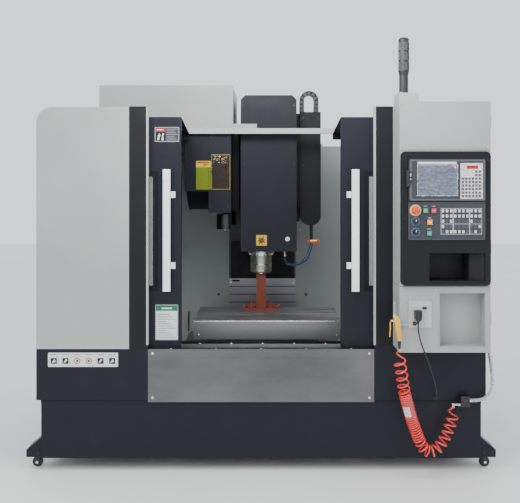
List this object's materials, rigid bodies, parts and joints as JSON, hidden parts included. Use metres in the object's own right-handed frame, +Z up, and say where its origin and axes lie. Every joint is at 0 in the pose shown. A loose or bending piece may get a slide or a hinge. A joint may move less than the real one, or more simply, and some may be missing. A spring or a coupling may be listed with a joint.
{
  "type": "cnc machining center",
  "caption": "Vertical machining centre with sliding doors, tool changer, moving table and head, operator console, coolant tank, air gun and hoses.",
  "frame": {"origin": "on the floor, centred under the machine's outline", "axes": "+X to the operator's right, +Y from the doors towards the electric cabinet, +Z up"},
  "size_m": [2.6, 2.51, 2.369],
  "materials": {
    "light_paint": "satin powder coat",
    "dark_paint": "satin powder coat",
    "post_paint": "satin powder coat",
    "stainless": "brushed",
    "cast_iron": "painted casting",
    "ground_steel": "ground",
    "brace_paint": "brushed-on paint",
    "handle_white": "satin",
    "window_glass": "laminated",
    "panel_plastic": "fine grain",
    "socket_plastic": "smooth",
    "lamp_plastic": "smooth",
    "stop_red": "smooth",
    "start_green": "lit cap",
    "orange_cap": "lit cap",
    "gun_yellow": "moulded",
    "caster_steel": "zinc plated",
    "wheel_rubber": "moulded",
    "hose_red": "translucent polyurethane",
    "cable_black": "PVC jacket",
    "hose_clear": "clear film over twin hose"
  },
  "bodies": {
    "machine": {"air_gun": "gun_yellow", "apron": "stainless", "bed": "cast_iron", "black_cable": "cable_black", "cam_box": "dark_paint", "clear_hose": "hose_clear", "column": "cast_iron", "console": "post_paint", "control_cabinet": "light_paint", "coolant_tank": "dark_paint", "display_unit": "panel_plastic", "door_posts": "post_paint", "electric_cabinet": "light_paint", "fixed_way_cover": "stainless", "hose_fittings": "panel_plastic", "inner_sheets": "stainless", "left_cover": "light_paint", "leveling_feet": "cast_iron", "lower_panels": "dark_paint", "magazine_hood": "light_paint", "magazine_shell": "dark_paint", "operator_panel": "panel_plastic", "plug": "panel_plastic", "rear_guards": "stainless", "red_coil": "hose_red", "right_cover": "light_paint", "service_socket": "socket_plastic", "signal_lamp": "lamp_plastic", "top_beam": "light_paint"},
    "left_door": {"left_door": "dark_paint", "left_handle": "handle_white", "left_window": "window_glass"},
    "right_door": {"right_door": "dark_paint", "right_handle": "handle_white", "right_window": "window_glass"},
    "saddle": {"saddle": "dark_paint"},
    "table": {"table": "ground_steel", "shipping_brace": "brace_paint"},
    "head": {"head": "cast_iron", "head_cover": "dark_paint", "spindle_nose": "ground_steel", "cable_duct": "dark_paint", "coolant_nozzle": "panel_plastic"},
    "spindle": {"spindle": "ground_steel"},
    "clamp_button": {"clamp_button": "socket_plastic"},
    "way_cover": {"sliding_way_cover": "stainless"},
    "tool_disc": {"tool_disc": "ground_steel"},
    "tool_arm": {"tool_arm": "ground_steel"},
    "emergency_stop": {"emergency_stop": "stop_red"},
    "start_button": {"start_button": "start_green"},
    "stop_button": {"stop_button": "stop_red"},
    "orange_button": {"orange_button": "orange_cap"},
    "cycle_button": {"cycle_button": "start_green"},
    "feed_knob": {"feed_knob": "panel_plastic"},
    "speed_knob": {"speed_knob": "panel_plastic"},
    "gun_trigger": {"gun_trigger": "gun_yellow"},
    "left_fork": {"left_caster_fork": "caster_steel"},
    "right_fork": {"right_caster_fork": "caster_steel"},
    "left_wheel": {"left_wheel": "wheel_rubber"},
    "right_wheel": {"right_wheel": "wheel_rubber"}
  },
  "joints": [
    {"name": "left_door_slide", "type": "slide", "parent": "machine", "child": "left_door", "axis": [1, 0, 0], "range_m": [0, 0.4447]},
    {"name": "right_door_slide", "type": "slide", "parent": "machine", "child": "right_door", "axis": [-1, 0, 0], "range_m": [0, 0.4447]},
    {"name": "saddle_y", "type": "slide", "parent": "machine", "child": "saddle", "axis": [0, 1, 0], "range_m": [-0.1, 0.38]},
    {"name": "table_x", "type": "slide", "parent": "saddle", "child": "table", "axis": [1, 0, 0], "range_m": [-0.44, 0.36]},
    {"name": "head_z", "type": "slide", "parent": "machine", "child": "head", "axis": [0, 0, 1], "range_m": [0, 0.35]},
    {"name": "way_cover_lift", "type": "slide", "parent": "machine", "child": "way_cover", "axis": [0, 0, 1], "range_m": [0, 0.175]},
    {"name": "spindle_turn", "type": "hinge", "parent": "head", "child": "spindle", "pos_m": [0, -0.16, 1.1], "axis": [0, 0, 1], "continuous": true},
    {"name": "clamp_push", "type": "slide", "parent": "head", "child": "clamp_button", "axis": [0, 1, 0], "range_m": [0, 0.0035], "stiffness_N_per_m": 400, "springref_m": -0.002},
    {"name": "disc_turn", "type": "hinge", "parent": "machine", "child": "tool_disc", "pos_m": [-0.405, -0.01, 1.785], "axis": [1, 0, 0], "continuous": true},
    {"name": "arm_drop", "type": "slide", "parent": "machine", "child": "tool_arm", "axis": [0, 0, -1], "range_m": [0, 0.115]},
    {"name": "emergency_stop_push", "type": "slide", "parent": "machine", "child": "emergency_stop", "axis": [0, 1, 0], "range_m": [0, 0.006], "stiffness_N_per_m": 600, "springref_m": -0.002},
    {"name": "start_button_push", "type": "slide", "parent": "machine", "child": "start_button", "axis": [0, 1, 0], "range_m": [0, 0.004], "stiffness_N_per_m": 300, "springref_m": -0.002},
    {"name": "stop_button_push", "type": "slide", "parent": "machine", "child": "stop_button", "axis": [0, 1, 0], "range_m": [0, 0.004], "stiffness_N_per_m": 300, "springref_m": -0.002},
    {"name": "orange_button_push", "type": "slide", "parent": "machine", "child": "orange_button", "axis": [0, 1, 0], "range_m": [0, 0.004], "stiffness_N_per_m": 300, "springref_m": -0.002},
    {"name": "cycle_button_push", "type": "slide", "parent": "machine", "child": "cycle_button", "axis": [0, 1, 0], "range_m": [0, 0.004], "stiffness_N_per_m": 300, "springref_m": -0.002},
    {"name": "feed_knob_turn", "type": "hinge", "parent": "machine", "child": "feed_knob", "pos_m": [0.808, -1.216, 1.389], "axis": [0, -1, 0], "range_deg": [-135, 135]},
    {"name": "speed_knob_turn", "type": "hinge", "parent": "machine", "child": "speed_knob", "pos_m": [0.808, -1.216, 1.334], "axis": [0, -1, 0], "range_deg": [-60, 60]},
    {"name": "trigger_squeeze", "type": "hinge", "parent": "machine", "child": "gun_trigger", "pos_m": [0.672, -1.231, 0.866], "axis": [0, -1, 0], "range_deg": [0, 8], "stiffness_Nm_per_rad": 0.5, "springref_deg": -5.73},
    {"name": "left_caster_swivel", "type": "hinge", "parent": "machine", "child": "left_fork", "pos_m": [-1.262, -0.92, 0.05], "axis": [0, 0, 1], "continuous": true},
    {"name": "left_wheel_roll", "type": "hinge", "parent": "left_fork", "child": "left_wheel", "pos_m": [-1.252, -0.92, 0.029], "axis": [0, 1, 0], "continuous": true},
    {"name": "right_caster_swivel", "type": "hinge", "parent": "machine", "child": "right_fork", "pos_m": [1.262, -0.92, 0.05], "axis": [0, 0, 1], "continuous": true},
    {"name": "right_wheel_roll", "type": "hinge", "parent": "right_fork", "child": "right_wheel", "pos_m": [1.252, -0.92, 0.029], "axis": [0, 1, 0], "continuous": true}
  ],
  "couplings": [
    {"joint": "way_cover_lift", "follows": "head_z", "ratio": 0.5}
  ]
}
